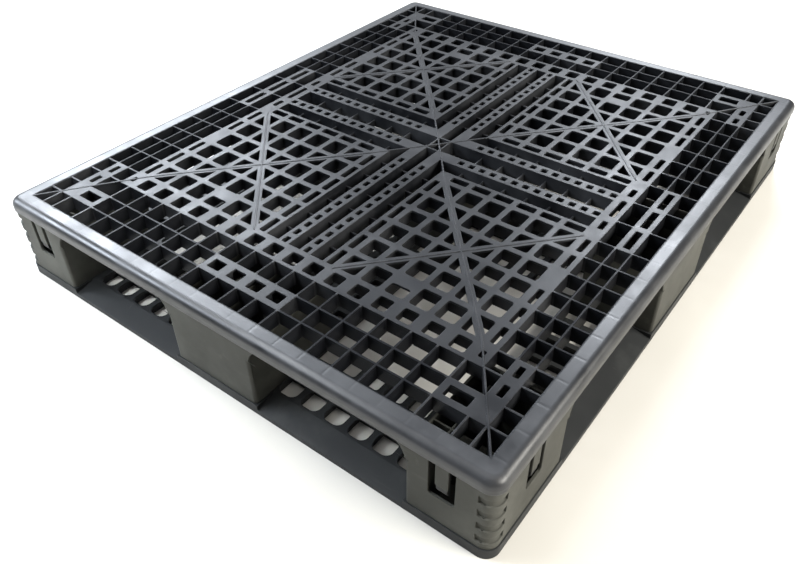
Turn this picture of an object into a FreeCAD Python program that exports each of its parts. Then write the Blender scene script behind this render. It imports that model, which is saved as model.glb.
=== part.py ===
import FreeCAD, Part
import Sketcher
import math
import os

# Plastic pallet, 1200 x 1000 mm, double faced, four-way entry.
# Frame: millimetres, +X along the long side, +Y along the short side, +Z up,
# origin on the floor under the centre.  The pallet is symmetric about the
# planes X = 0 and Y = 0.
#
# The pallet is a stack: a bottom deck, nine hollow blocks and a top deck.
# Snap hooks hang from the top deck inside the corner blocks, tie screws hold
# the other five blocks between the decks, and short screws hold the corner
# blocks to the bottom deck.

V = FreeCAD.Vector
doc = FreeCAD.newDocument("plastic_pallet")

# ---------------------------------------------------------------- dimensions

DIMENSIONS = (
    ("pallet_length", 1200.0, "long side, along X"),
    ("pallet_width", 1000.0, "short side, along Y"),
    ("pallet_height", 158.0, "floor to the flat rim"),
    ("corner_radius", 22.0, "plan radius of the pallet's corners"),
    ("wall", 4.0, "outer walls of decks and blocks"),
    ("skin", 4.0, "flat skins of both decks"),
    ("half_web", 1.4, "half thickness of the ribs under a skin"),
    ("half_thin_rib", 1.6, "half width of the thin ribs at the load face"),
    ("half_wide_rib", 5.25, "half width of the lattice ribs at the load face"),
    ("deck_depth", 27.0, "top deck, down to its webs"),
    ("lip_lift", 5.0, "lip's lower edge above the bottom of the webs"),
    ("lip_zone", 10.0, "width of the lifted strip along the lip"),
    ("rim_edge", 14.0, "rounding of the rim's outer edge"),
    ("rim_wall", 6.0, "thickness of the lip"),
    ("rim_step", 0.8, "rim and diagonal ridges above the lattice"),
    ("low_web_depth", 14.0, "webs that cross under the long slots"),
    ("rim_width", 32.0, "flat rim round the load face"),
    ("grid_start_x", 102.5, "first lattice rib from the centre, along X"),
    ("grid_pitch_x", 51.08, "lattice pitch along X"),
    ("grid_start_y", 84.2, "first lattice rib from the centre, along Y"),
    ("grid_pitch_y", 45.2, "lattice pitch along Y"),
    ("frame_x", 447.0, "outer rib of the inner frame, along X"),
    ("frame_y", 380.0, "outer rib of the inner frame, along Y"),
    ("border_near_x", 490.0, "first border rib beyond the frame, along X"),
    ("border_far_x", 528.0, "second border rib, along X"),
    ("border_near_y", 411.0, "first border rib beyond the frame, along Y"),
    ("border_far_y", 438.0, "second border rib, along Y"),
    ("ladder_x", 34.0, "middle cross ribs of the long sides"),
    ("ladder_y", 42.0, "middle cross ribs of the short sides"),
    ("band_width", 13.0, "flat diagonal bands of the lattice"),
    ("ridge_width", 2.6, "raised line along each diagonal"),
    ("diagonal_rib", 3.2, "thin diagonal ribs outside the lattice"),
    ("base_depth", 18.0, "bottom deck"),
    ("base_edge", 9.0, "height of the bottom deck's edge under a fork entry"),
    ("base_band", 38.0, "sloped band along the bottom deck's edges"),
    ("base_pocket", 5.0, "depth of the pockets under the sloped bands"),
    ("window_near_x", 100.0, "bottom window, side next to the centre, X"),
    ("window_far_x", 423.0, "bottom window, outer side, X"),
    ("window_near_y", 85.0, "bottom window, side next to the centre, Y"),
    ("window_far_y", 355.0, "bottom window, outer side, Y"),
    ("window_radius", 18.0, "corners of the bottom windows"),
    ("block_inset", 2.0, "block faces behind the lip"),
    ("corner_block_x", 415.0, "inner face of the corner and end blocks, X"),
    ("corner_block_y", 364.0, "inner face of the corner and side blocks, Y"),
    ("mid_block_x", 100.0, "half length of the middle blocks, X"),
    ("mid_block_y", 87.0, "half width of the middle blocks, Y"),
    ("block_radius", 6.0, "upright edges of the blocks"),
    ("block_web", 3.0, "cross webs inside the blocks"),
    ("block_floor", 4.0, "floors of the blocks"),
    ("spigot_lap", 12.0, "spigots above and below the top of their block"),
    ("haunch_reach", 18.0, "haunch under the lip, along the side"),
    ("haunch_drop", 28.0, "haunch under the lip, downwards"),
    ("groove_height", 13.0, "grooves round the outer corners"),
    ("groove_depth", 3.0, "depth of the corner grooves"),
    ("groove_pitch", 26.4, "grooves, centre to centre"),
    ("groove_low", 36.0, "centre of the lowest groove"),
    ("groove_run", 6.0, "grooves past the round of the corner"),
    ("hook_x", 502.0, "hook in the long face, from the centre"),
    ("hook_y", 420.0, "hook in the short face, from the centre"),
    ("tab_width", 20.0, "tab of block wall between the slits"),
    ("slit_width", 10.0, "slits beside the tab"),
    ("tab_end", 93.0, "lower end of the tab"),
    ("window_sill", 68.0, "lower edge of the hook window"),
    ("slit_top", 133.0, "upper end of the slits"),
    ("hook_width", 17.0, "snap hook, across"),
    ("hook_thickness", 5.0, "snap hook's shank"),
    ("hook_gap", 0.6, "air between hook and tab"),
    ("hook_bottom", 75.0, "lower end of the hook"),
    ("barb_reach", 3.6, "barb beyond the shank"),
    ("hook_crown", 2.4, "top of the shank above the hook's pivot"),
    ("pivot_height", 143.0, "hook's pivot above the floor"),
    ("pivot_inset", 9.5, "hook's pivot behind the lip"),
    ("pivot_radius", 3.0, "hook's pivot bead"),
    ("pivot_clearance", 0.05, "bead to socket, radial"),
    ("pivot_length", 42.0, "length of the pivot bead"),
    ("tie_radius", 4.0, "tie screw's shank"),
    ("tie_reach", 149.0, "tip of the tie screws"),
    ("tie_head", 8.0, "radius of the tie screws' heads"),
    ("tie_column", 9.0, "radius of the columns round the tie screws"),
    ("short_radius", 3.0, "short screw's shank"),
    ("short_reach", 38.0, "tip of the short screws"),
    ("short_head", 6.5, "radius of the short screws' heads"),
    ("short_column", 7.0, "radius of the columns over the short screws"),
    ("short_column_height", 26.0, "height of the columns over the short screws"),
    ("screw_gap", 0.06, "screw to its pilot hole, radial"),
    ("head_bottom", 2.0, "screw heads above the floor"),
    ("head_depth", 5.0, "thickness of the screw heads"),
)

sheet = doc.addObject("Spreadsheet::Sheet", "dims")
for row, (alias, value, meaning) in enumerate(DIMENSIONS, start=1):
    sheet.set("A%d" % row, meaning)
    sheet.set("B%d" % row, str(value))
    sheet.setAlias("B%d" % row, alias)
doc.recompute()


def dim(alias):
    """The value of one cell of the sheet."""
    return float(sheet.get(alias))


def bind(obj, **expressions):
    """Bind properties to the sheet; a double underscore stands for a dot."""
    for prop, expression in expressions.items():
        obj.setExpression(prop.replace("__", "."), expression)
    return obj


# ------------------------------------------------------------- plan geometry

HALF_X = dim("pallet_length") / 2
HALF_Y = dim("pallet_width") / 2
RIM_X = HALF_X - dim("rim_width")
RIM_Y = HALF_Y - dim("rim_width")
CELLS = 6
GRID_X = [dim("grid_start_x") + i * dim("grid_pitch_x") for i in range(CELLS + 1)]
GRID_Y = [dim("grid_start_y") + j * dim("grid_pitch_y") for j in range(CELLS + 1)]
FRAME_X = dim("frame_x")
FRAME_Y = dim("frame_y")
BORDER_X = (FRAME_X, dim("border_near_x"), dim("border_far_x"), RIM_X)
BORDER_Y = (FRAME_Y, dim("border_near_y"), dim("border_far_y"), RIM_Y)
LADDER_X = dim("ladder_x")
LADDER_Y = dim("ladder_y")
# Ribs beside the long slots of the centre cross: the slot along the middle,
# the perforated bar beside it, the outer slot and the lattice's edge rib.
CROSS_X = (22.0, 45.0, 77.0)
CROSS_Y = (13.5, 33.0, 62.0)
# Solid ledge between the outer slot's edge rib and the lattice's half cells.
CROSS_LEDGE = 5.0
# Web across the frame row between the ladder and the lattice.
FRAME_GAP_X = 84.0
QUADRANTS = ((1, 1), (-1, 1), (-1, -1), (1, -1))
WEB = dim("half_web")
THIN = dim("half_thin_rib")
WIDE = dim("half_wide_rib")


def outline(x0, x1, y0, y1, radii):
    """Closed wire of a rectangle whose corners have the given radii.

    The radii go counter-clockwise from the corner (x0, y0).
    """
    corners = ((x0, y0, 1, 1), (x1, y0, -1, 1), (x1, y1, -1, -1), (x0, y1, 1, -1))
    off_arc = 1 - math.sqrt(0.5)
    turns = []
    for (cx, cy, sx, sy), radius in zip(corners, radii):
        on_x = V(cx + sx * radius, cy, 0)
        on_y = V(cx, cy + sy * radius, 0)
        middle = V(cx + sx * radius * off_arc, cy + sy * radius * off_arc, 0)
        start_on_y = sx * sy > 0
        turns.append((on_y, middle, on_x) if start_on_y else (on_x, middle, on_y))
    edges = []
    for n, (start, middle, end) in enumerate(turns):
        if radii[n] > 0:
            edges.append(Part.Arc(start, middle, end).toShape())
        edges.append(Part.makeLine(end, turns[(n + 1) % 4][0]))
    return Part.Wire(edges)


def rounded(x0, x1, y0, y1, radius=0.0):
    """Face of a rectangle with equal corners."""
    return Part.Face(outline(x0, x1, y0, y1, (radius,) * 4))


def polygon(points):
    """Face with straight sides through plan points."""
    ring = [V(x, y, 0) for x, y in points]
    return Part.Face(Part.makePolygon(ring + ring[:1]))


def strip(start, end, width, overrun=0.0):
    """Face of a straight bar between two plan points, longer by overrun."""
    a = V(start[0], start[1], 0)
    b = V(end[0], end[1], 0)
    along = (b - a).normalize()
    across = V(-along.y, along.x, 0) * (width / 2)
    a = a - along * overrun
    b = b + along * overrun
    return Part.Face(Part.makePolygon([a - across, b - across, b + across, a + across, a - across]))


def spans(lines):
    """Neighbouring pairs of a list of rib lines."""
    return list(zip(lines[:-1], lines[1:]))


def without_bars(holes, bars):
    """Holes less the bars that run across them, as separate faces."""
    result = []
    for hole in holes:
        touching = [bar for bar in bars if bar.BoundBox.intersect(hole.BoundBox)]
        if touching:
            result.extend(hole.cut(Part.makeCompound(touching)).Faces)
        else:
            result.append(hole)
    smallest_hole = 12.0
    return [hole for hole in result if hole.Area > smallest_hole]


def raised(name, faces, bottom, depth):
    """Extrude plan faces upwards; bottom and depth are sheet expressions."""
    plan = doc.addObject("Part::Feature", name + "_plan")
    plan.Shape = Part.makeCompound(faces)
    solid = doc.addObject("Part::Extrusion", name)
    solid.Base = plan
    solid.DirMode = "Custom"
    solid.Dir = V(0, 0, 1)
    solid.Solid = True
    bind(solid, LengthFwd=depth, Placement__Base__z=bottom)
    return solid


def cylinder(name, x, y, z, radius, depth):
    """Upright cylinder at a plan point; sizes are sheet expressions."""
    solid = doc.addObject("Part::Cylinder", name)
    bind(solid, Radius=radius, Height=depth, Placement__Base__z=z)
    bind(solid, Placement__Base__x="%.4f" % x, Placement__Base__y="%.4f" % y)
    return solid


def joined(name, pieces):
    """One solid from overlapping or touching pieces."""
    result = doc.addObject("Part::MultiFuse", name)
    result.Shapes = pieces
    result.Refine = False
    return result


def together(name, pieces):
    """Several solids as one object, none of them merged."""
    result = doc.addObject("Part::Compound", name)
    result.Links = pieces
    return result


def reflected(name, source, normal):
    """Mirror image through the origin's plane with the given normal."""
    result = doc.addObject("Part::Mirroring", name)
    result.Source = source
    result.Normal = normal
    return result


def four_quadrants(name, quadrant):
    """The whole deck from its quadrant at positive X and Y."""
    half = joined(name + "_half", [quadrant, reflected(name + "_mirror_x", quadrant, V(1, 0, 0))])
    return joined(name + "_whole", [half, reflected(name + "_mirror_y", half, V(0, 1, 0))])


def cut(name, base, tool):
    result = doc.addObject("Part::Cut", name)
    result.Base = base
    result.Tool = tool
    result.Refine = False
    return result


# ------------------------------------------------------------------ top deck

DECK_BOTTOM = "dims.pallet_height - dims.deck_depth"
SKIN_BOTTOM = "dims.pallet_height - dims.rim_step - dims.skin"
# Single holes of the load face: length along X, width along Y, corner radius.
FRAME_HOLE = (28.0, 26.0, 4.0)
FRAME_SLOT = (38.0, 10.0, 3.0)
FRAME_SHORT_SLOT = (26.0, 10.0, 3.0)
FRAME_LONG_SLOT = (56.0, 10.0, 3.0)
FRAME_CORNER_HOLE = (14.0, 8.0, 2.0)
BAR_HOLE_ALONG_Y = (12.0, 12.0, 2.0)
BAR_HOLE_ALONG_X = (15.0, 9.5, 2.0)
END_LADDER_HOLE = (21.0, 25.0, 2.0)
SIDE_LADDER_HOLE = (54.0, 12.0, 2.0)
CORNER_LEG_HOLE = (20.0, 38.0, 2.0)
CORNER_FOOT_HOLE = (23.0, 10.0, 2.0)


def middle(span):
    return (span[0] + span[1]) / 2


# Tie screws of one quadrant: long-side block, short-side block, centre block.
TIE_POINTS = (
    (LADDER_X, middle(BORDER_Y[1:3])),
    (middle(BORDER_X[1:3]), LADDER_Y),
    (middle(CROSS_X[0:2]), middle(CROSS_Y[0:2])),
)


def inset(x_span, y_span, margin, radius=0.0):
    """Hole between four rib lines, less a margin on each side."""
    (x0, x1), (y0, y1) = x_span, y_span
    return rounded(x0 + margin, x1 - margin, y0 + margin, y1 - margin, radius)


def centred(x_span, y_span, size_x, size_y, radius):
    """Hole of a given size in the middle of a cell."""
    x, y = middle(x_span), middle(y_span)
    return rounded(x - size_x / 2, x + size_x / 2, y - size_y / 2, y + size_y / 2, radius)


def border_cells():
    """Cells of the border between the inner frame and the rim, one quadrant."""
    rows = [0.0, LADDER_Y] + GRID_Y
    end_cells = [(x, y) for x in spans(BORDER_X) for y in spans(rows)]
    columns = [LADDER_X] + GRID_X
    side_cells = [(x, y) for y in spans(BORDER_Y) for x in [(-LADDER_X, LADDER_X)] + spans(columns)]
    corner_x = spans((GRID_X[-1],) + BORDER_X)
    corner_cells = [(x, y) for x in corner_x for y in spans(BORDER_Y)]
    return end_cells, side_cells, corner_cells


def skin_holes():
    """Holes through the load face in one quadrant."""
    holes = []
    filled_part = 22.0
    for i, x in enumerate(spans(GRID_X)):
        for j, y in enumerate(spans(GRID_Y)):
            half_filled = (i, j) == (5, 2)
            x_span = (x[0] + filled_part - WIDE, x[1]) if half_filled else x
            holes.append(inset(x_span, y, WIDE, 5.0))
    # Inner frame: square holes along the short sides, slots along the long.
    column = (GRID_X[-1], FRAME_X)
    for y in spans([0.0, LADDER_Y] + GRID_Y):
        holes.append(centred(column, y, *FRAME_HOLE))
    row = (GRID_Y[-1], FRAME_Y)
    closed_cell = 2
    for i, x in enumerate(spans(GRID_X)):
        if i != closed_cell:
            holes.append(centred(x, row, *FRAME_SLOT))
    holes.append(centred((-LADDER_X, LADDER_X), row, *FRAME_LONG_SLOT))
    holes.append(centred((LADDER_X, FRAME_GAP_X), row, *FRAME_SHORT_SLOT))
    holes.append(centred(column, row, *FRAME_CORNER_HOLE))
    holes += cross_holes() + border_holes()
    return holes


def long_slots(margin):
    """The long slots of the centre cross, one quadrant."""
    end_x = GRID_X[-1] - WIDE
    end_y = GRID_Y[-1] - WIDE
    bar_x, slot_x, edge_x = CROSS_X
    bar_y, slot_y, edge_y = CROSS_Y
    return [
        rounded(-bar_x + margin, bar_x - margin, bar_y + margin, end_y),
        rounded(bar_x + margin, end_x, -bar_y + margin, bar_y - margin),
        polygon([(slot_x + margin, slot_y + margin), (end_x, slot_y + margin), (end_x, edge_y - margin),
                 (edge_x - margin, edge_y - margin), (edge_x - margin, end_y), (slot_x + margin, end_y)]),
    ]


def cross_holes():
    """Smaller holes of the centre cross, one quadrant."""
    bar_x, bar_y = CROSS_X[0], CROSS_Y[0]
    holes = [rounded(-bar_x + THIN, bar_x - THIN, -bar_y + THIN, bar_y - THIN)]
    near_x, near_y = CROSS_X[-1] + CROSS_LEDGE, CROSS_Y[-1] + CROSS_LEDGE
    for y in spans(GRID_Y):
        holes.append(rounded(near_x, GRID_X[0] - WIDE, y[0] + WIDE, y[1] - WIDE, 3.0))
    for x in spans(GRID_X):
        holes.append(rounded(x[0] + WIDE, x[1] - WIDE, near_y, GRID_Y[0] - WIDE, 3.0))
    # The bars have two small holes to each pitch of the lattice.
    for n in range(2 * CELLS + 1):
        y = GRID_Y[-1] - (n + 0.5) * dim("grid_pitch_y") / 2
        holes.append(centred(CROSS_X[0:2], (y, y), *BAR_HOLE_ALONG_Y))
        x = GRID_X[-1] - (n + 0.5) * dim("grid_pitch_x") / 2
        holes.append(centred((x, x), CROSS_Y[0:2], *BAR_HOLE_ALONG_X))
    return holes


def border_holes():
    """Holes of the border with its flush ladders and corner frames."""
    end_cells, side_cells, corner_cells = border_cells()
    holes = []
    ladder_column = BORDER_X[1:3]
    ladder_row = BORDER_Y[1:3]
    for x, y in end_cells:
        if x == ladder_column and y[1] <= GRID_Y[0]:
            holes.append(centred(x, y, *END_LADDER_HOLE))
        else:
            holes.append(inset(x, y, THIN))
    for x, y in side_cells:
        if y == ladder_row and x[1] <= GRID_X[0]:
            holes.append(centred(x, y, *SIDE_LADDER_HOLE))
        else:
            holes.append(inset(x, y, THIN))
    # Corners: an L of flush ribs round a solid corner plate.
    leg = (GRID_Y[-1], BORDER_Y[1])
    holes.append(centred(ladder_column, leg, *CORNER_LEG_HOLE))
    holes.append(inset(BORDER_X[0:2], leg, THIN))
    holes.append(inset(BORDER_X[2:4], leg, THIN))
    for x, y in corner_cells:
        if x[0] >= FRAME_X and y == BORDER_Y[0:2]:
            continue
        if y == ladder_row and x[1] <= BORDER_X[1]:
            holes.append(centred(x, y, *CORNER_FOOT_HOLE))
        elif not (y == ladder_row and x == ladder_column):
            holes.append(inset(x, y, THIN))
    return holes


def web_holes():
    """Openings between the ribs under the skin, one quadrant."""
    cells = [(x, y) for x in spans(GRID_X) for y in spans(GRID_Y)]
    column = (GRID_X[-1], FRAME_X)
    row = (GRID_Y[-1], FRAME_Y)
    cells += [(column, y) for y in spans([0.0, LADDER_Y] + GRID_Y)]
    cells += [(x, row) for x in [(-LADDER_X, LADDER_X)] + spans([LADDER_X, FRAME_GAP_X] + GRID_X)]
    cells.append((column, row))
    end_cells, side_cells, corner_cells = border_cells()
    leg = (GRID_Y[-1], BORDER_Y[1])
    cells += end_cells + side_cells + [(x, leg) for x in spans(BORDER_X)]
    cells += [(x, y) for x, y in corner_cells if not (x[0] >= FRAME_X and y == BORDER_Y[0:2])]
    bar_x, slot_x, edge_x = CROSS_X
    bar_y, slot_y, edge_y = CROSS_Y
    cells += [((edge_x, GRID_X[0]), y) for y in spans(GRID_Y)]
    cells += [(x, (edge_y, GRID_Y[0])) for x in spans(GRID_X)]
    cells += [((bar_x, slot_x), y) for y in spans([slot_y] + GRID_Y)]
    cells += [(x, (bar_y, slot_y)) for x in spans([slot_x] + GRID_X)]
    cells.append(((-bar_x, bar_x), (-bar_y, bar_y)))
    return [inset(x, y, WEB) for x, y in cells]


def slot_pockets():
    """Parts of the long slots between the low webs that cross them."""
    edge_x, edge_y = CROSS_X[-1], CROSS_Y[-1]
    bars = [strip((-edge_x, y), (edge_x, y), 2 * WEB) for y in GRID_Y[:-1]]
    bars += [strip((x, -edge_y), (x, edge_y), 2 * WEB) for x in GRID_X[:-1]]
    return without_bars(long_slots(THIN), bars)


def rim_pockets():
    """Pockets under the flat rim, between the lip and the rim's inner web."""
    wall = dim("rim_wall")
    radius = dim("corner_radius") - wall
    ring = rounded(wall - HALF_X, HALF_X - wall, wall - HALF_Y, HALF_Y - wall, radius)
    ring = ring.cut(rounded(-RIM_X - WEB, RIM_X + WEB, -RIM_Y - WEB, RIM_Y + WEB))
    ring = ring.common(rounded(0.0, HALF_X, 0.0, HALF_Y))
    half_pocket = 20.0
    columns = [0.0, LADDER_X] + GRID_X + [FRAME_X, dim("hook_x") - half_pocket, dim("hook_x") + half_pocket]
    rows = [0.0, LADDER_Y] + GRID_Y + [dim("hook_y") - half_pocket, dim("hook_y") + half_pocket]
    bars = [strip((x, 0.0), (x, HALF_Y), 2 * WEB) for x in columns]
    bars += [strip((0.0, y), (HALF_X, y), 2 * WEB) for y in rows]
    return ring.cut(Part.makeCompound(bars)).Faces


def diagonal_bars(band_width, thin_width, overrun):
    """Bars along the diagonals of one quadrant.

    Wide bands cross the lattice; thin ones run on to the centre and the rim.
    """
    near = (GRID_X[0], GRID_Y[0])
    far = (GRID_X[-1], GRID_Y[-1])
    bands = [(near, far), ((near[0], far[1]), (far[0], near[1]))]
    thin = [((0.0, 0.0), near), (far, (RIM_X, RIM_Y))]
    bars = [strip(start, end, band_width, overrun) for start, end in bands]
    return bars + [strip(start, end, thin_width, overrun) for start, end in thin]


def hook_sites():
    """Where the eight snap hooks hang.

    Each is a name, the pivot's plan point, and the turn about Z that takes a
    hook of the long front face to this face.
    """
    inset_pivot = dim("pivot_inset")
    sites = []
    for end, sx in (("left", -1), ("right", 1)):
        for side, sy in (("front", -1), ("back", 1)):
            corner = side + "_" + end
            turn = 0.0 if sy < 0 else 180.0
            sites.append(("side_hook_" + corner, sx * dim("hook_x"), sy * (HALF_Y - inset_pivot), turn))
            turn = -90.0 if sx < 0 else 90.0
            sites.append(("end_hook_" + corner, sx * (HALF_X - inset_pivot), sy * dim("hook_y"), turn))
    return sites


def pivot_bore(name, x, y, turn):
    """Socket for one hook's pivot bead, through the two webs beside it."""
    bore = doc.addObject("Part::Cylinder", "socket_" + name)
    bind(bore, Radius="dims.pivot_radius + dims.pivot_clearance", Height="dims.pivot_length + 2")
    half = dim("pivot_length") / 2 + 1
    across = FreeCAD.Rotation(V(0, 0, 1), turn).multiply(FreeCAD.Rotation(V(0, 1, 0), 90))
    start = V(x, y, dim("pivot_height")) - across.multVec(V(0, 0, half))
    bore.Placement = FreeCAD.Placement(start, across)
    return bore


def quadrant_slab(name, bottom, depth):
    """Solid slab of one quadrant with the pallet's rounded corner."""
    face = Part.Face(outline(0.0, HALF_X, 0.0, HALF_Y, (0.0, 0.0, dim("corner_radius"), 0.0)))
    return raised(name, [face], bottom, depth)


def rounded_rim(slab):
    """Round the upper edge of a quadrant's slab along the pallet's outline."""
    doc.recompute()
    on_rim = []
    for number, edge in enumerate(slab.Shape.Edges, start=1):
        reach = edge.BoundBox
        level = reach.ZMin > dim("pallet_height") - 0.01
        if level and reach.XMax > 0.01 and reach.YMax > 0.01:
            on_rim.append((number, dim("rim_edge"), dim("rim_edge")))
    result = doc.addObject("Part::Fillet", "deck_rounded")
    result.Base = slab
    result.Edges = on_rim
    return result


def lifted_lip():
    """Space under the lip, which ends a little above the deck's webs."""
    beyond = 1.0
    zone = dim("lip_zone")
    ring = rounded(-beyond, HALF_X + beyond, -beyond, HALF_Y + beyond)
    ring = ring.cut(rounded(-2 * beyond, HALF_X - zone, -2 * beyond, HALF_Y - zone))
    return raised("deck_lifted_lip", ring.Faces, DECK_BOTTOM + " - 1", "dims.lip_lift + 1")


def make_top_deck():
    slab = rounded_rim(quadrant_slab("deck_slab", DECK_BOTTOM, "dims.deck_depth"))
    # The lattice lies a little below the rim and the ridges.
    ridges = diagonal_bars(dim("ridge_width"), dim("ridge_width"), 0.0)
    lattice = without_bars([rounded(-10.0, RIM_X, -10.0, RIM_Y)], ridges)
    recess = raised("deck_recess", lattice, "dims.pallet_height - dims.rim_step", "dims.rim_step + 1")
    webs = diagonal_bars(2 * WEB, 2 * WEB, 0.0)
    under_skin = without_bars(web_holes(), webs) + rim_pockets()
    pockets = raised("deck_pockets", under_skin, DECK_BOTTOM + " - 1",
                     "dims.deck_depth - dims.skin - dims.rim_step + 1")
    low_slots = raised("deck_low_slots", without_bars(slot_pockets(), webs), DECK_BOTTOM + " - 1",
                       "dims.low_web_depth + 2")
    stepped = cut("deck_stepped", slab, recess)
    hollow = cut("deck_hollow", stepped, together("deck_hollows", [pockets, low_slots]))
    bosses = []
    pilots = []
    for n, (x, y) in enumerate(TIE_POINTS):
        bosses.append(cylinder("deck_boss_%d" % n, x, y, DECK_BOTTOM, "dims.tie_radius * 2",
                               "dims.deck_depth - dims.skin"))
        pilots.append(cylinder("deck_pilot_%d" % n, x, y, DECK_BOTTOM + " - 1",
                               "dims.tie_radius + dims.screw_gap",
                               "dims.tie_reach + 2 - dims.pallet_height + dims.deck_depth"))
    bands = diagonal_bars(dim("band_width"), dim("diagonal_rib"), 1.0)
    # A small plate where the diagonals of the quadrant cross.
    plate_x, plate_y = GRID_X[3], GRID_Y[3]
    half_x, half_y = 17.0, 15.0
    bands.append(rounded(plate_x - half_x, plate_x + half_x, plate_y - half_y, plate_y + half_y))
    holes = raised("deck_holes", without_bars(skin_holes(), bands), SKIN_BOTTOM + " - 3", "dims.skin + 6")
    slots = raised("deck_slots", without_bars(long_slots(THIN), webs),
                   DECK_BOTTOM + " + dims.low_web_depth", "dims.deck_depth")
    sockets = [pivot_bore(*site) for site in hook_sites() if site[1] > 0 and site[2] > 0]
    cutters = together("deck_cutters", [holes, slots, lifted_lip()] + pilots + sockets)
    quadrant = cut("deck_quadrant", joined("deck_bossed", [hollow] + bosses), cutters)
    return four_quadrants("deck", quadrant)


# -------------------------------------------------------------------- blocks

BLOCK_BOTTOM = "dims.base_depth"
BLOCK_TOP = "dims.pallet_height - dims.deck_depth"
BLOCK_DEPTH = BLOCK_TOP + " - dims.base_depth"
FACE_X = HALF_X - dim("block_inset")
FACE_Y = HALF_Y - dim("block_inset")
# Short screws of one quadrant; the corner block's cross webs run through them.
SHORT_SCREWS = ((468.0, 395.0), (540.0, 460.0))


def shell(name, x0, x1, y0, y1, radii):
    """Hollow block with a floor and an open top.

    Where a wall lies in the pallet's side it is a little taller, up to the lip.
    """
    wall = dim("wall")
    inner_radii = [max(radius - wall, 1.0) for radius in radii]
    outside = Part.Face(outline(x0, x1, y0, y1, radii))
    inside = Part.Face(outline(x0 + wall, x1 - wall, y0 + wall, y1 - wall, inner_radii))
    outer = raised(name + "_outside", [outside], BLOCK_BOTTOM, BLOCK_DEPTH)
    inner = raised(name + "_inside", [inside], BLOCK_BOTTOM + " + dims.block_floor", BLOCK_DEPTH)
    pieces = [cut(name + "_shell", outer, inner)]
    behind = Part.Face(outline(-HALF_X, FACE_X - wall, -HALF_Y, FACE_Y - wall,
                               (0.0, 0.0, inner_radii[2], 0.0)))
    in_side = outside.cut(inside).cut(behind).Faces
    if in_side:
        pieces.append(raised(name + "_top_edge", in_side, BLOCK_TOP + " - 1", "dims.lip_lift + 1"))
    return pieces


def block_webs(name, x0, x1, y0, y1, at_x, at_y):
    """Upright cross webs inside a block, at the given X and Y planes."""
    half = dim("block_web") / 2
    overlap = 1.0
    edge = dim("wall") - overlap
    faces = [rounded(x - half, x + half, y0 + edge, y1 - edge) for x in at_x]
    faces += [rounded(x0 + edge, x1 - edge, y - half, y + half) for y in at_y]
    return [raised("%s_web_%d" % (name, n), [face], BLOCK_BOTTOM, BLOCK_DEPTH)
            for n, face in enumerate(faces)]


def spigot(name, cell_x, cell_y):
    """Hollow spigot that fits between the deck's ribs round one cell."""
    air = 0.5
    gap = WEB + air
    thick = 2.5
    x0, x1 = cell_x[0] + gap, cell_x[1] - gap
    y0, y1 = cell_y[0] + gap, cell_y[1] - gap
    ring = rounded(x0, x1, y0, y1).cut(rounded(x0 + thick, x1 - thick, y0 + thick, y1 - thick))
    return raised(name + "_spigot", ring.Faces, BLOCK_TOP + " - dims.spigot_lap", "2 * dims.spigot_lap")


def haunch(name, start, along, inward):
    """Bracket under the lip beside a fork entry, as thick as the wall.

    start is the plan point of the block's upright edge in its outer face,
    along points into the entry and inward into the pallet.
    """
    reach, drop = dim("haunch_reach"), dim("haunch_drop")
    top = dim("pallet_height") - dim("deck_depth") + dim("lip_lift")
    overlap = along * -dim("block_radius")
    base = V(start[0], start[1], top)
    low = base - V(0, 0, drop)
    hollowness = 0.38
    bulge = base + along * (reach * hollowness) - V(0, 0, drop * hollowness)
    curve = Part.Arc(base + along * reach, bulge, low).toShape()
    edges = [curve, Part.makeLine(low, low + overlap), Part.makeLine(low + overlap, base + overlap),
             Part.makeLine(base + overlap, base + along * reach)]
    bracket = doc.addObject("Part::Feature", name)
    bracket.Shape = Part.Face(Part.Wire(edges)).extrude(inward * dim("wall"))
    return bracket


def hook_window(name, x, y, turn):
    """U-shaped opening in a block's face that leaves a tab between two slits."""
    half = dim("tab_width") / 2 + dim("slit_width")
    half_tab = dim("tab_width") / 2
    sill, tab_end, top = dim("window_sill"), dim("tab_end"), dim("slit_top")
    corner = 3.0
    points = [(-half + corner, sill), (half - corner, sill), (half, sill + corner), (half, top),
              (half_tab, top), (half_tab, tab_end), (-half_tab, tab_end), (-half_tab, top),
              (-half, top), (-half, sill + corner)]
    reach = 8.0
    ring = [V(px, -reach, pz) for px, pz in points]
    face = Part.Face(Part.makePolygon(ring + ring[:1]))
    window = doc.addObject("Part::Feature", "window_" + name)
    window.Shape = face.extrude(V(0, 2 * reach, 0))
    inset_face = dim("pivot_inset") - dim("block_inset") - dim("wall") / 2
    spin = FreeCAD.Rotation(V(0, 0, 1), turn)
    window.Placement = FreeCAD.Placement(V(x, y, 0) - spin.multVec(V(0, inset_face, 0)), spin)
    return window


def corner_grooves(name):
    """Grooves round the outer corner, between flush bumper ribs."""
    depth = dim("groove_depth")
    radius = dim("corner_radius") - dim("block_inset")
    run = dim("groove_run")
    far_x, far_y = FACE_X + 1.0, FACE_Y + 1.0
    outer = rounded(FACE_X - radius - run, far_x, FACE_Y - radius - run, far_y)
    start = FACE_X - radius - run - 1.0, FACE_Y - radius - run - 1.0
    keep = Part.Face(outline(start[0], FACE_X - depth, start[1], FACE_Y - depth,
                             (0.0, 0.0, radius - depth, 0.0)))
    band = outer.cut(keep)
    grooves = []
    for n in range(4):
        bottom = "dims.groove_low + %d * dims.groove_pitch - dims.groove_height / 2" % n
        grooves.append(raised("%s_groove_%d" % (name, n), band.Faces, bottom, "dims.groove_height"))
    return grooves


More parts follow.
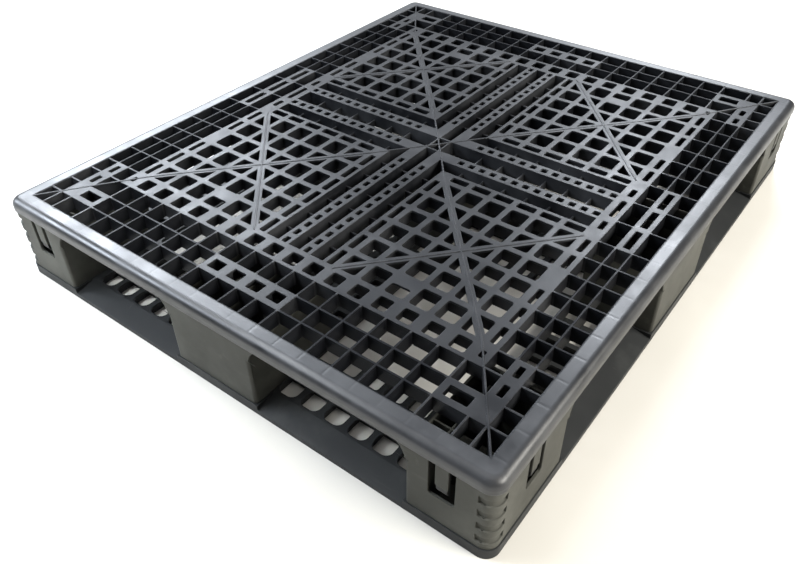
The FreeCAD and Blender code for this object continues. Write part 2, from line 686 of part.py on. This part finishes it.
def make_corner_block():
    """The corner block at positive X and Y."""
    x0, y0 = dim("corner_block_x"), dim("corner_block_y")
    small = dim("block_radius")
    radius = dim("corner_radius") - dim("block_inset")
    pieces = shell("corner", x0, FACE_X, y0, FACE_Y, (small, small, radius, small))
    # A second skin behind the grooves keeps the wall whole.
    groove = dim("groove_depth")
    wall = dim("wall") + groove
    past_grooves = dim("groove_run") + dim("wall")
    near_x, near_y = FACE_X - radius - past_grooves, FACE_Y - radius - past_grooves
    backing = Part.Face(outline(near_x, FACE_X - groove, near_y, FACE_Y - groove,
                                (0.0, 0.0, radius - groove, 0.0)))
    hollow = Part.Face(outline(near_x - wall, FACE_X - wall, near_y - wall, FACE_Y - wall,
                               (0.0, 0.0, radius - wall, 0.0)))
    pieces.append(raised("corner_backing", backing.cut(hollow).Faces, BLOCK_BOTTOM, BLOCK_DEPTH))
    web_x, web_y = zip(*SHORT_SCREWS)
    pieces += block_webs("corner", x0, FACE_X, y0, FACE_Y, web_x, web_y)
    clear_of_diagonal = 4.0
    pieces.append(spigot("corner", (BORDER_X[0], BORDER_X[1] - clear_of_diagonal), BORDER_Y[1:3]))
    pieces.append(haunch("corner_side_haunch", (x0, FACE_Y), V(-1, 0, 0), V(0, -1, 0)))
    pieces.append(haunch("corner_end_haunch", (FACE_X, y0), V(0, -1, 0), V(-1, 0, 0)))
    cutters = corner_grooves("corner")
    for n, (x, y) in enumerate(SHORT_SCREWS):
        pieces.append(cylinder("corner_column_%d" % n, x, y, BLOCK_BOTTOM, "dims.short_column",
                               "dims.short_column_height"))
        cutters.append(cylinder("corner_pilot_%d" % n, x, y, BLOCK_BOTTOM + " - 1",
                                "dims.short_radius + dims.screw_gap",
                                "dims.short_reach - dims.base_depth + 3"))
    cutters += [hook_window(*site) for site in hook_sites() if site[1] > 0 and site[2] > 0]
    return cut("corner_block", joined("corner_joined", pieces), together("corner_cutters", cutters))


def make_middle_block(name, x0, x1, y0, y1, webs, columns, spigots, haunches):
    """A block without hooks: side, end or centre."""
    pieces = shell(name, x0, x1, y0, y1, (dim("block_radius"),) * 4)
    pieces += block_webs(name, x0, x1, y0, y1, *webs)
    pieces += [spigot("%s_%d" % (name, n), *cells) for n, cells in enumerate(spigots)]
    pieces += [haunch("%s_haunch_%d" % (name, n), *place) for n, place in enumerate(haunches)]
    bores = []
    for n, (x, y) in enumerate(columns):
        pieces.append(cylinder("%s_column_%d" % (name, n), x, y, BLOCK_BOTTOM, "dims.tie_column",
                               BLOCK_DEPTH))
        bores.append(cylinder("%s_bore_%d" % (name, n), x, y, BLOCK_BOTTOM + " - 1",
                              "dims.tie_radius + 0.5", BLOCK_DEPTH + " + 2"))
    return cut(name + "_block", joined(name + "_joined", pieces), together(name + "_bores", bores))


def make_blocks():
    """The nine blocks, by name."""
    mid_x, mid_y = dim("mid_block_x"), dim("mid_block_y")
    near_x, near_y = dim("corner_block_x"), dim("corner_block_y")
    tie_side, tie_end, tie_centre = TIE_POINTS
    side_webs = (-68.0, 0.0, 68.0)
    end_webs = (-64.0, 0.0, 64.0)
    side_spigot, end_spigot = 24.0, 28.0
    side = make_middle_block(
        "side", -mid_x, mid_x, near_y, FACE_Y, (side_webs, (tie_side[1],)),
        [(-tie_side[0], tie_side[1]), tie_side], [((-side_spigot, side_spigot), BORDER_Y[1:3])],
        [((sx * mid_x, FACE_Y), V(sx, 0, 0), V(0, -1, 0)) for sx in (-1, 1)])
    end = make_middle_block(
        "end", near_x, FACE_X, -mid_y, mid_y, ((tie_end[0],), end_webs),
        [(tie_end[0], -tie_end[1]), tie_end],
        [(BORDER_X[1:3], (-end_spigot, 0.0)), (BORDER_X[1:3], (0.0, end_spigot))],
        [((FACE_X, sy * mid_y), V(0, sy, 0), V(-1, 0, 0)) for sy in (-1, 1)])
    centre = make_middle_block(
        "centre", -mid_x, mid_x, -mid_y, mid_y,
        ((-tie_centre[0], tie_centre[0]), (-tie_centre[1], tie_centre[1])),
        [(sx * tie_centre[0], sy * tie_centre[1]) for sx, sy in QUADRANTS], [], [])
    corner = make_corner_block()
    front_right = reflected("corner_front_right", corner, V(0, 1, 0))
    return {
        "corner_block_back_right": corner,
        "corner_block_front_right": front_right,
        "corner_block_back_left": reflected("corner_back_left", corner, V(1, 0, 0)),
        "corner_block_front_left": reflected("corner_front_left", front_right, V(1, 0, 0)),
        "side_block_back": side,
        "side_block_front": reflected("side_front", side, V(0, 1, 0)),
        "end_block_right": end,
        "end_block_left": reflected("end_left", end, V(1, 0, 0)),
        "centre_block": centre,
    }


# --------------------------------------------------------------- bottom deck

BASE_FAR_X = HALF_X - dim("base_band") + 1.0
BASE_FAR_Y = HALF_Y - dim("base_band") + 1.0
BASE_X = (dim("window_far_x") + 2.0, 474.0, 518.0, BASE_FAR_X)
BASE_Y = (dim("window_far_y") + 2.0, 392.0, 428.0, BASE_FAR_Y)
MIDDLE_X = (0.0, 49.0, 98.0)
MIDDLE_Y = (0.0, 41.5, 83.0)


def base_cells():
    """Cells of the bottom deck in one quadrant: those with holes, and the rest."""
    open_cells = [(x, y) for x in spans(BASE_X) + spans(MIDDLE_X) for y in spans(GRID_Y)]
    open_cells += [(x, y) for y in spans(BASE_Y) + spans(MIDDLE_Y) for x in spans(GRID_X)]
    closed_cells = [(x, y) for x in spans(BASE_X) + spans(MIDDLE_X)
                    for y in spans(BASE_Y) + spans(MIDDLE_Y)]
    return open_cells, closed_cells


def base_ring():
    """Shallow pockets under the bottom deck's edge, one quadrant."""
    wall = dim("wall")
    radius = dim("corner_radius") - wall
    ring = Part.Face(outline(-20.0, HALF_X - wall, -20.0, HALF_Y - wall, (0.0, 0.0, radius, 0.0)))
    ring = ring.cut(rounded(-30.0, BASE_FAR_X + WEB, -30.0, BASE_FAR_Y + WEB))
    bars = [strip((x, 0.0), (x, HALF_Y), 2 * WEB) for x in list(MIDDLE_X) + GRID_X + list(BASE_X)]
    bars += [strip((0.0, y), (HALF_X, y), 2 * WEB) for y in list(MIDDLE_Y) + GRID_Y + list(BASE_Y)]
    return ring.cut(Part.makeCompound(bars)).Faces


def entry_slope(name, along_x, start, end):
    """Wedge that slopes the bottom deck's edge down to a fork entry."""
    depth, band, edge = dim("base_depth"), dim("base_band"), dim("base_edge")
    outer = HALF_Y if along_x else HALF_X
    section = [(outer - band, depth), (outer + 1.0, edge - (depth - edge) / band),
               (outer + 1.0, depth + 1.0), (outer - band, depth + 1.0)]
    if along_x:
        ring = [V(start, distance, z) for distance, z in section]
        run = V(end - start, 0, 0)
    else:
        ring = [V(distance, start, z) for distance, z in section]
        run = V(0, end - start, 0)
    wedge = doc.addObject("Part::Feature", name)
    wedge.Shape = Part.Face(Part.makePolygon(ring + ring[:1])).extrude(run)
    return wedge


def make_bottom_deck():
    slab = quadrant_slab("base_slab", "0", "dims.base_depth")
    open_cells, closed_cells = base_cells()
    window = rounded(dim("window_near_x"), dim("window_far_x"), dim("window_near_y"), dim("window_far_y"),
                     dim("window_radius"))
    windows = raised("base_window", [window], "-1", "dims.base_depth + 2")
    cells = [inset(x, y, WEB) for x, y in open_cells + closed_cells]
    pockets = raised("base_pockets", cells, "-1", "dims.base_depth - dims.skin + 1")
    edge_pockets = raised("base_edge_pockets", base_ring(), "-1", "dims.base_pocket + 1")
    hollow = cut("base_hollow", slab, together("base_hollows", [windows, pockets, edge_pockets]))
    bosses = []
    cutters = []
    for kind, points in (("tie", TIE_POINTS), ("short", SHORT_SCREWS)):
        head = "dims.%s_head" % kind
        for n, (x, y) in enumerate(points):
            bosses.append(cylinder("base_%s_boss_%d" % (kind, n), x, y, "0", head + " + 3.5",
                                   "dims.base_depth - 1"))
            cutters.append(cylinder("base_%s_recess_%d" % (kind, n), x, y, "-1", head + " + 0.5",
                                    "dims.head_bottom + dims.head_depth + 1"))
            cutters.append(cylinder("base_%s_hole_%d" % (kind, n), x, y, "-1",
                                    "dims.%s_radius + 0.5" % kind, "dims.base_depth + 2"))
    holes = []
    for x, y in open_cells:
        next_to_edge = x[1] == BASE_FAR_X or y[1] == BASE_FAR_Y
        holes.append(inset(x, y, WIDE, 12.0 if next_to_edge else 5.0))
    cutters.append(raised("base_holes", holes, "dims.base_depth - dims.skin - 3", "dims.skin + 6"))
    gap = 3.0
    cutters.append(entry_slope("base_side_slope", True, dim("mid_block_x") + gap,
                               dim("corner_block_x") - gap))
    cutters.append(entry_slope("base_end_slope", False, dim("mid_block_y") + gap,
                               dim("corner_block_y") - gap))
    bossed = joined("base_bossed", [hollow] + bosses)
    quadrant = cut("base_quadrant", bossed, together("base_cutters", cutters))
    return four_quadrants("base", quadrant)


# ---------------------------------------------------------- hooks and screws

def origin_plane(body, role):
    """One of the body's own origin planes."""
    return next(item for item in body.Origin.OriginFeatures if item.Role == role)


def attached_sketch(body, name):
    """Empty sketch on the plane that runs through the pivot, across the face."""
    sketch = body.newObject("Sketcher::SketchObject", name)
    sketch.AttachmentSupport = [(origin_plane(body, "YZ_Plane"), "")]
    sketch.MapMode = "FlatFace"
    return sketch


def sketch_profile(sketch, corners):
    """Closed outline whose corners are held by sheet expressions."""
    count = len(corners)
    start = [V(n, n * n, 0) for n in range(count)]
    for n in range(count):
        sketch.addGeometry(Part.LineSegment(start[n], start[(n + 1) % count]), False)
    for n in range(count):
        sketch.addConstraint(Sketcher.Constraint("Coincident", n, 2, (n + 1) % count, 1))
    for n, (across, up) in enumerate(corners):
        for kind, expression in (("DistanceX", across), ("DistanceY", up)):
            index = sketch.addConstraint(Sketcher.Constraint(kind, -1, 1, n, 1, 1.0 + n))
            sketch.setExpression("Constraints[%d]" % index, expression)


def padded(body, name, sketch, expression):
    """Pad of a sketch, half to each side of its plane."""
    pad = body.newObject("PartDesign::Pad", name)
    pad.Profile = sketch
    pad.SideType = "Symmetric"
    pad.setExpression("Length", expression)
    return pad


def make_hook(name, x, y, turn):
    """Snap hook: a shank that hangs from its bead, with a barb facing outwards."""
    body = doc.addObject("PartDesign::Body", name + "_body")
    tab_back = "(dims.block_inset + dims.wall - dims.pivot_inset)"
    outside = tab_back + " + dims.hook_gap"
    inside = outside + " + dims.hook_thickness"
    barb = outside + " - dims.barb_reach"
    shoulder = "dims.tab_end - dims.hook_gap - dims.pivot_height"
    bottom = "dims.hook_bottom - dims.pivot_height"
    profile = attached_sketch(body, name + "_profile")
    sketch_profile(profile, [
        (outside, "dims.hook_crown"), (inside, "dims.hook_crown"), (inside, bottom),
        (outside + " + 1.5", bottom), (barb, bottom + " + 10"), (barb, shoulder), (outside, shoulder)])
    padded(body, name + "_shank", profile, "dims.hook_width")
    circle = attached_sketch(body, name + "_circle")
    circle.addGeometry(Part.Circle(V(0, 0, 0), V(0, 0, 1), dim("pivot_radius")), False)
    circle.addConstraint(Sketcher.Constraint("Coincident", 0, 3, -1, 1))
    index = circle.addConstraint(Sketcher.Constraint("Radius", 0, dim("pivot_radius")))
    circle.setExpression("Constraints[%d]" % index, "dims.pivot_radius")
    padded(body, name + "_bead", circle, "dims.pivot_length")
    spin = FreeCAD.Rotation(V(0, 0, 1), turn)
    body.Placement = FreeCAD.Placement(V(x, y, dim("pivot_height")), spin)
    return body


def screw(x, y, radius, tip, head_radius):
    """Pan-head screw, head down, with a hexagonal socket."""
    bottom, head = dim("head_bottom"), dim("head_depth")
    point = 3.0
    head_solid = Part.makeCylinder(head_radius, head, V(x, y, bottom))
    rounding = 1.5
    head_solid = head_solid.makeFillet(rounding, [head_solid.Edges[2]])
    shank = Part.makeCylinder(radius, tip - point - bottom, V(x, y, bottom))
    end = Part.makeCone(radius, radius * 0.4, point, V(x, y, tip - point))
    corners = [V(x + 0.9 * radius * math.cos(k * math.pi / 3), y + 0.9 * radius * math.sin(k * math.pi / 3),
                 bottom - 1) for k in range(6)]
    socket = Part.Face(Part.makePolygon(corners + corners[:1])).extrude(V(0, 0, 4.0))
    return head_solid.fuse([shank, end]).cut(socket)


def make_screws(kind, points):
    """All the screws of one kind, as separate solids."""
    radius, tip, head_radius = dim(kind + "_radius"), dim(kind + "_reach"), dim(kind + "_head")
    group = doc.addObject("Part::Feature", kind + "_screws_group")
    solids = [screw(sx * x, sy * y, radius, tip, head_radius).Solids[0]
              for x, y in points for sx, sy in QUADRANTS]
    group.Shape = Part.makeCompound(solids)
    return group


# ------------------------------------------------------------------ assembly

nodes = {"top_deck": make_top_deck(), "bottom_deck": make_bottom_deck()}
nodes.update(make_blocks())
for hook_name, hook_x, hook_y, hook_turn in hook_sites():
    nodes[hook_name] = make_hook(hook_name, hook_x, hook_y, hook_turn)
nodes["tie_screws"] = make_screws("tie", TIE_POINTS)
nodes["corner_screws"] = make_screws("short", SHORT_SCREWS)
for label, node in nodes.items():
    node.Label = label
doc.recompute()

for item in doc.Objects:
    if "Invalid" in item.State or "Error" in item.State:
        raise RuntimeError("failed object: %s" % item.Name)
for label, node in nodes.items():
    if node.Shape.isNull() or not node.Shape.isValid() or not node.Shape.Solids:
        raise RuntimeError("bad shape: %s" % label)

os.makedirs("parts", exist_ok=True)
for label, node in nodes.items():
    node.Shape.exportStep("parts/%s.step" % label)
    print("%s: %d solids, %.3f kg" % (label, len(node.Shape.Solids), node.Shape.Volume * 0.95e-6))
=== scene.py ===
import math

import bpy
from mathutils import Euler, Matrix, Vector


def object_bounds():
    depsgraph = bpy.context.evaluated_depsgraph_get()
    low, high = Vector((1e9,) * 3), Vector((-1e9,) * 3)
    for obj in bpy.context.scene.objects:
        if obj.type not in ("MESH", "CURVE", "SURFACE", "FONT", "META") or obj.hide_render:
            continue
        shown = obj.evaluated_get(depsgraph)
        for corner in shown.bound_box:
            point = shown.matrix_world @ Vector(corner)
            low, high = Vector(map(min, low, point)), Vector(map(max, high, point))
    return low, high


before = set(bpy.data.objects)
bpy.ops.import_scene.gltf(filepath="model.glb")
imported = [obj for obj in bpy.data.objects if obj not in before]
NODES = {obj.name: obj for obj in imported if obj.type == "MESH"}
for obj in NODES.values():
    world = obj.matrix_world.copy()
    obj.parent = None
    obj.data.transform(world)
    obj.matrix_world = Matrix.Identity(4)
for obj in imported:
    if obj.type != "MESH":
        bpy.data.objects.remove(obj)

# A black plastic pallet, dressed for the camera: moulded plastic with scuffs,
# dust and rounded edges on the decks, blocks and hooks, zinc plate on the screws.
# Metres, +Z up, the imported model's own frame.

CAD_BOX = [list(corner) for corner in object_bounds()]

# The load face, measured from the pallet's middle.  Pairs are along X and along Y.
HALF_SIZE = CAD_BOX[1][:2]
RIM = 0.032                                     # width of the rim
RIM_FLAT = 0.016                                # its flat part, from the inside
RIB_START = (0.1025, 0.0842)                    # first lattice rib
RIB_PITCH = (0.05108, 0.0452)
LATTICE_END = (0.404, 0.350)                    # inner side of the last lattice rib
BORDER_START = (0.4525, 0.3855)                 # the border reaches from here to the rim
LADDER_BAND = ((0.486, 0.532), (0.407, 0.442))  # flush ladders in the border, both sides
LADDER_END = (0.107, 0.0885)                    # reach of the ladders from the middle


# ---------------------------------------------------------------- materials

class Nodes:
    """Short calls for building one material's node tree."""

    def __init__(self, name):
        self.material = bpy.data.materials.new(name)
        self.material.use_nodes = True
        self.tree = self.material.node_tree
        self.tree.nodes.clear()
        self.shader = self.add("ShaderNodeBsdfPrincipled")
        output = self.add("ShaderNodeOutputMaterial")
        self.link(self.shader.outputs["BSDF"], output.inputs["Surface"])
        self.place = self.add("ShaderNodeTexCoord").outputs["Object"]

    def add(self, kind, **settings):
        """A new node with its settings."""
        node = self.tree.nodes.new(kind)
        for name, value in settings.items():
            setattr(node, name, value)
        return node

    def link(self, source, target):
        """Join an output to an input."""
        self.tree.links.new(source, target)

    def noise(self, scale, detail=4.0, roughness=0.55, stretch=(1, 1, 1), seed=0.0):
        """Noise over the object's own coordinates; scale is per metre."""
        mapping = self.add("ShaderNodeMapping")
        mapping.inputs["Scale"].default_value = stretch
        mapping.inputs["Location"].default_value = (seed, seed * 1.7, seed * 0.6)
        self.link(self.place, mapping.inputs["Vector"])
        node = self.add("ShaderNodeTexNoise")
        node.inputs["Scale"].default_value = scale
        node.inputs["Detail"].default_value = detail
        node.inputs["Roughness"].default_value = roughness
        self.link(mapping.outputs["Vector"], node.inputs["Vector"])
        return node.outputs["Fac"]

    def ramp(self, source, low, high, low_value=0.0, high_value=1.0):
        """Map a range of source onto a range of values, clamped."""
        node = self.add("ShaderNodeMapRange", clamp=True)
        ends = {"From Min": low, "From Max": high, "To Min": low_value, "To Max": high_value}
        for name, value in ends.items():
            node.inputs[name].default_value = value
        self.link(source, node.inputs["Value"])
        return node.outputs["Result"]

    def combine(self, operation, a, b=0.0):
        """A maths node; a and b are sockets or numbers."""
        node = self.add("ShaderNodeMath", operation=operation)
        for socket, value in zip(node.inputs, (a, b)):
            if isinstance(value, (int, float)):
                socket.default_value = value
            else:
                self.link(value, socket)
        return node.outputs["Value"]

    def blend(self, amount, first, second):
        """Mix two colours by an amount from 0 to 1."""
        node = self.add("ShaderNodeMix", data_type="RGBA")
        self.link(amount, node.inputs["Factor"])
        colour_sockets = [socket for socket in node.inputs if socket.type == "RGBA"]
        for socket, colour in zip(colour_sockets, (first, second)):
            socket.default_value = (*colour, 1.0)
        return next(socket for socket in node.outputs if socket.type == "RGBA")

    def bump(self, height, strength, distance, normal=None):
        """A bumped normal; distance is the relief's depth in metres."""
        node = self.add("ShaderNodeBump")
        node.inputs["Strength"].default_value = strength
        node.inputs["Distance"].default_value = distance
        self.link(height, node.inputs["Height"])
        if normal is not None:
            self.link(normal, node.inputs["Normal"])
        return node.outputs["Normal"]


def scuffs_and_patches(n, dust, seed):
    """Wide dull patches, and scuffs drawn out along X and along Y."""
    patches = n.ramp(n.noise(6.0, detail=5.0, roughness=0.6, seed=seed), 0.44, 0.72)
    drawn_x = n.noise(34.0, detail=6.0, roughness=0.7, stretch=(0.10, 1.0, 1.0), seed=seed + 3.0)
    drawn_y = n.noise(34.0, detail=6.0, roughness=0.7, stretch=(1.0, 0.10, 1.0), seed=seed + 7.0)
    scuffs = n.combine("MAXIMUM", n.ramp(drawn_x, 0.60, 0.76), n.ramp(drawn_y, 0.61, 0.77))
    return n.combine("MAXIMUM", n.combine("MULTIPLY", patches, dust),
                     n.combine("MULTIPLY", scuffs, 0.8 * dust))


def worn_edges(n, rounded, flat, seed):
    """Broken pale lines on the edges, where the rounded normal leaves the flat one."""
    turned = n.add("ShaderNodeVectorMath", operation="DOT_PRODUCT")
    n.link(rounded, turned.inputs[0])
    n.link(flat, turned.inputs[1])
    edges = n.ramp(turned.outputs["Value"], 0.99, 0.86)
    breaks = n.ramp(n.noise(55.0, detail=3.0, seed=seed + 11.0), 0.40, 0.66, 0.05, 0.7)
    return n.combine("MULTIPLY", edges, breaks)


def settled_dust(n, flat, dust, seed):
    """Uneven dust on the faces that look up."""
    facing = n.add("ShaderNodeSeparateXYZ")
    n.link(flat, facing.inputs["Vector"])
    upward = n.ramp(facing.outputs["Z"], 0.7, 0.95)
    uneven = n.ramp(n.noise(4.0, seed=seed + 17.0), 0.35, 0.65, 0.10, 0.40)
    return n.combine("MULTIPLY", n.combine("MULTIPLY", upward, uneven), dust)


def moulded_plastic(name, base, worn, roughness, dust, edge, seed, gloss, load_face=False):
    """Injection-moulded plastic: grain, scuffs, paler worn edges and settled dust.

    edge is the radius of the moulded edges; dust scales the patches, the scuffs
    and the dust; gloss is the specular level.  load_face adds the rim's sink
    marks and polish, dulls the lattice, and paints shade on the border's thin
    ribs: less pale wear and a lower specular level make them read darker.
    """
    n = Nodes(name)
    bevel = n.add("ShaderNodeBevel", samples=4)
    bevel.inputs["Radius"].default_value = edge
    rounded = bevel.outputs["Normal"]
    flat = n.add("ShaderNodeNewGeometry").outputs["Normal"]
    amount = n.combine("MAXIMUM", scuffs_and_patches(n, dust, seed), worn_edges(n, rounded, flat, seed))
    amount = n.combine("MAXIMUM", amount, settled_dust(n, flat, dust, seed))
    n.shader.inputs["Specular IOR Level"].default_value = gloss
    fine = n.noise(1400.0, detail=2.0, roughness=0.5, seed=seed)
    grain = n.bump(fine, strength=0.16, distance=0.0002, normal=rounded)
    broad = n.noise(14.0, detail=2.0, roughness=0.4, seed=seed + 2.0)
    surface = n.bump(broad, strength=0.25, distance=0.0012, normal=grain)
    if load_face:
        thin = thin_rib_shade_mask(n)
        marks, on_rim = rim_marks(n)
        # Painted shade: the border's thin ribs get less of the pale wear colour and a lower specular
        # level, so they read darker than the wide ribs, as if shaded.
        thin_shade_wear, thin_shade_gloss, lattice_gloss = 0.25, 0.35, 0.30
        amount = n.combine("MULTIPLY", amount, n.ramp(thin, 0.0, 1.0, 1.0, thin_shade_wear))
        sunk = n.combine("SUBTRACT", 1.0, marks)
        surface = n.bump(sunk, strength=0.22, distance=0.0005, normal=surface)
        level = n.combine("MULTIPLY", n.ramp(on_rim, 0.0, 1.0, lattice_gloss * gloss, gloss),
                          n.ramp(thin, 0.0, 1.0, 1.0, thin_shade_gloss))
        n.link(level, n.shader.inputs["Specular IOR Level"])
    n.link(n.blend(amount, base, worn), n.shader.inputs["Base Color"])
    smoother, rougher, wear_roughness = 0.05, 0.07, 0.14
    cloudy = n.noise(20.0, detail=5.0, roughness=0.6, seed=seed + 5.0)
    rough = n.combine("ADD", n.ramp(cloudy, 0.3, 0.7, roughness - smoother, roughness + rougher),
                      n.combine("MULTIPLY", amount, wear_roughness))
    n.link(rough, n.shader.inputs["Roughness"])
    n.link(surface, n.shader.inputs["Normal"])
    return n.material


def from_middle(n):
    """Distances from the pallet's middle along X and along Y."""
    split = n.add("ShaderNodeSeparateXYZ")
    n.link(n.place, split.inputs["Vector"])
    return [n.combine("ABSOLUTE", split.outputs[axis]) for axis in ("X", "Y")]


def rim_marks(n):
    """Masks of the flat rim: sink marks over the ribs beneath, and the rim itself."""
    distances = from_middle(n)
    soft_edge, rounding_off = 0.002, 0.006
    mark_reach = 0.07  # in pitches
    marks = []
    zones = []
    for axis in (0, 1):
        across, along = distances[axis], distances[1 - axis]
        start, pitch = RIB_START[1 - axis], RIB_PITCH[1 - axis]
        inner = HALF_SIZE[axis] - RIM
        zone = n.ramp(across, inner, inner + soft_edge)
        turns = n.combine("DIVIDE", n.combine("SUBTRACT", along, start - 0.5 * pitch), pitch)
        off_rib = n.combine("ABSOLUTE", n.combine("SUBTRACT", n.combine("FRACT", turns), 0.5))
        flat = n.ramp(across, inner + RIM_FLAT, inner + RIM_FLAT + rounding_off, 1.0, 0.0)
        mark = n.combine("MULTIPLY", n.ramp(off_rib, 0.0, mark_reach, 1.0, 0.0), flat)
        marks.append(n.combine("MULTIPLY", mark, zone))
        zones.append(zone)
    return n.combine("MAXIMUM", *marks), n.combine("MAXIMUM", *zones)


# Mask for the painted shade on the border's thin ribs.
def thin_rib_shade_mask(n):
    """Mask of the border's thin ribs, between the lattice and the rim."""
    distances = from_middle(n)
    soft_edge = 0.001

    def below(value, high):
        return n.ramp(value, high - soft_edge, high, 1.0, 0.0)

    def between(value, low, high):
        return n.combine("MULTIPLY", n.ramp(value, low, low + soft_edge), below(value, high))

    borders = []
    for axis in (0, 1):
        across, along = distances[axis], distances[1 - axis]
        zone = n.combine("MULTIPLY", between(across, BORDER_START[axis], HALF_SIZE[axis] - RIM),
                         below(along, LATTICE_END[1 - axis]))
        ladder = n.combine("MULTIPLY", between(across, *LADDER_BAND[axis]),
                           below(along, LADDER_END[1 - axis]))
        borders.append(n.combine("MULTIPLY", zone, n.combine("SUBTRACT", 1.0, ladder)))
    return n.combine("MAXIMUM", *borders)


def zinc_plate(name):
    """Zinc-plated steel of the screws, hidden from most sides."""
    n = Nodes(name)
    n.shader.inputs["Metallic"].default_value = 1.0
    stain = n.ramp(n.noise(90.0), 0.4, 0.7)
    n.link(n.blend(stain, (0.55, 0.55, 0.56), (0.33, 0.31, 0.27)), n.shader.inputs["Base Color"])
    n.link(n.ramp(n.noise(160.0, detail=3.0), 0.3, 0.7, 0.28, 0.5), n.shader.inputs["Roughness"])
    grain = n.bump(n.noise(700.0, detail=2.0), strength=0.2, distance=0.0002)
    n.link(grain, n.shader.inputs["Normal"])
    return n.material


def make_materials():
    """One material for each kind of node, by the word that its nodes' names hold."""
    return {
        "top_deck": moulded_plastic(
            "deck_plastic", base=(0.006, 0.0065, 0.008), worn=(0.075, 0.077, 0.082),
            roughness=0.34, dust=0.45, edge=0.0018, seed=1.0, gloss=0.5, load_face=True),
        "bottom_deck": moulded_plastic(
            "base_plastic", base=(0.010, 0.011, 0.012), worn=(0.060, 0.062, 0.060),
            roughness=0.5, dust=0.7, edge=0.001, seed=21.0, gloss=0.25),
        "block": moulded_plastic(
            "block_plastic", base=(0.042, 0.042, 0.036), worn=(0.125, 0.125, 0.110),
            roughness=0.55, dust=0.5, edge=0.001, seed=41.0, gloss=0.15),
        "hook": moulded_plastic(
            "hook_plastic", base=(0.010, 0.011, 0.011), worn=(0.06, 0.06, 0.06),
            roughness=0.5, dust=0.3, edge=0.0006, seed=61.0, gloss=0.25),
        "screws": zinc_plate("screw_steel"),
    }


def soften(obj, width):
    """Round the node's sharp edges with modifiers; its mesh stays as it is."""
    weld = obj.modifiers.new("weld", "WELD")
    weld.merge_threshold = 0.00001
    bevel = obj.modifiers.new("edge_radius", "BEVEL")
    bevel.width = width
    bevel.segments = 2
    bevel.limit_method = "ANGLE"
    bevel.angle_limit = math.radians(35)
    bevel.use_clamp_overlap = False
    bevel.harden_normals = False


def dress_nodes():
    """Give every CAD node its material, and the blocks and hooks rounded edges."""
    materials = make_materials()
    for name, obj in NODES.items():
        kind = next(word for word in materials if word in name)
        obj.data.materials.clear()
        obj.data.materials.append(materials[kind])
        if kind in ("block", "hook"):
            soften(obj, width=0.0008)


# ------------------------------------------------------------ stage and light

def make_floor():
    """A plain pale floor, a hair under the pallet so that the two faces don't meet."""
    mesh = bpy.data.meshes.new("floor")
    half = 14.0
    corners = [(-half, -half, 0), (half, -half, 0), (half, half, 0), (-half, half, 0)]
    mesh.from_pydata(corners, [], [(0, 1, 2, 3)])
    floor = bpy.data.objects.new("floor", mesh)
    bpy.context.collection.objects.link(floor)
    floor.location.z = -0.0005
    n = Nodes("pale_floor")
    clouds = n.ramp(n.noise(3.0, detail=3.0), 0.3, 0.7)
    n.link(n.blend(clouds, (0.61, 0.59, 0.545), (0.65, 0.63, 0.585)), n.shader.inputs["Base Color"])
    n.shader.inputs["Roughness"].default_value = 0.8
    mesh.materials.append(n.material)


def soft_box(name, azimuth, elevation, distance, size, power, colour=(1, 1, 1), target=(0, 0, 0.1)):
    """Area light aimed at a target; the angles are in degrees, the azimuth from +X."""
    light = bpy.data.lights.new(name, "AREA")
    light.shape = "RECTANGLE"
    light.size, light.size_y = size
    light.energy = power
    light.color = colour
    obj = bpy.data.objects.new(name, light)
    bpy.context.collection.objects.link(obj)
    turn, rise = math.radians(azimuth), math.radians(elevation)
    offset = Vector((math.cos(turn) * math.cos(rise), math.sin(turn) * math.cos(rise), math.sin(rise)))
    obj.location = Vector(target) + offset * distance
    obj.rotation_euler = (-offset).to_track_quat("-Z", "Y").to_euler()


def make_lights():
    """A dim room, windows behind the pallet that its top mirrors, and fills round it."""
    world = bpy.data.worlds.new("studio")
    world.use_nodes = True
    background = world.node_tree.nodes["Background"]
    background.inputs["Color"].default_value = (0.93, 0.95, 1.0, 1.0)
    background.inputs["Strength"].default_value = 0.09
    bpy.context.scene.world = world
    # Name, azimuth, elevation, distance, width and height, power in watts, colour.
    soft_box("back_window", 66.0, 33.0, 5.0, (2.2, 0.75), 300.0, (0.86, 0.92, 1.0))
    soft_box("left_window", 120.0, 27.0, 5.0, (1.7, 1.1), 240.0, (0.82, 0.90, 1.0))
    soft_box("right_window", 12.0, 34.5, 5.0, (1.0, 0.5), 160.0, (0.88, 0.93, 1.0))
    soft_box("far_window", 30.0, 24.0, 6.0, (5.0, 1.2), 55.0, (0.90, 0.94, 1.0))
    soft_box("front_fill", -80.0, 30.0, 4.5, (3.0, 2.0), 420.0, (1.0, 0.97, 0.90))
    soft_box("left_fill", 205.0, 25.0, 4.5, (3.0, 2.0), 8.0, (0.9, 0.95, 1.0))
    soft_box("floor_wash", 180.0, 88.0, 1.0, (0.3, 0.9), 14.0, (0.9, 0.95, 1.0), target=(-0.86, 0.42, 0.0))
    soft_box("overhead", 200.0, 80.0, 4.0, (3.0, 3.0), 45.0)


def make_camera():
    """Camera at waist height outside the front left corner, looking down at the pallet."""
    place = (-1.0666, -0.7153, 0.8840)
    tilt, roll, heading = 50.1488, 0.3065, -52.9935
    camera = bpy.data.cameras.new("camera")
    camera.lens = 34.08
    camera.sensor_width = 36.0
    camera.clip_end = 60.0
    obj = bpy.data.objects.new("camera", camera)
    bpy.context.collection.objects.link(obj)
    turn = Euler([math.radians(angle) for angle in (tilt, roll, heading)])
    obj.matrix_world = Matrix.LocRotScale(Vector(place), turn, None)
    bpy.context.scene.camera = obj


dress_nodes()
make_floor()
make_lights()
make_camera()
bpy.context.scene.view_settings.view_transform = "Standard"
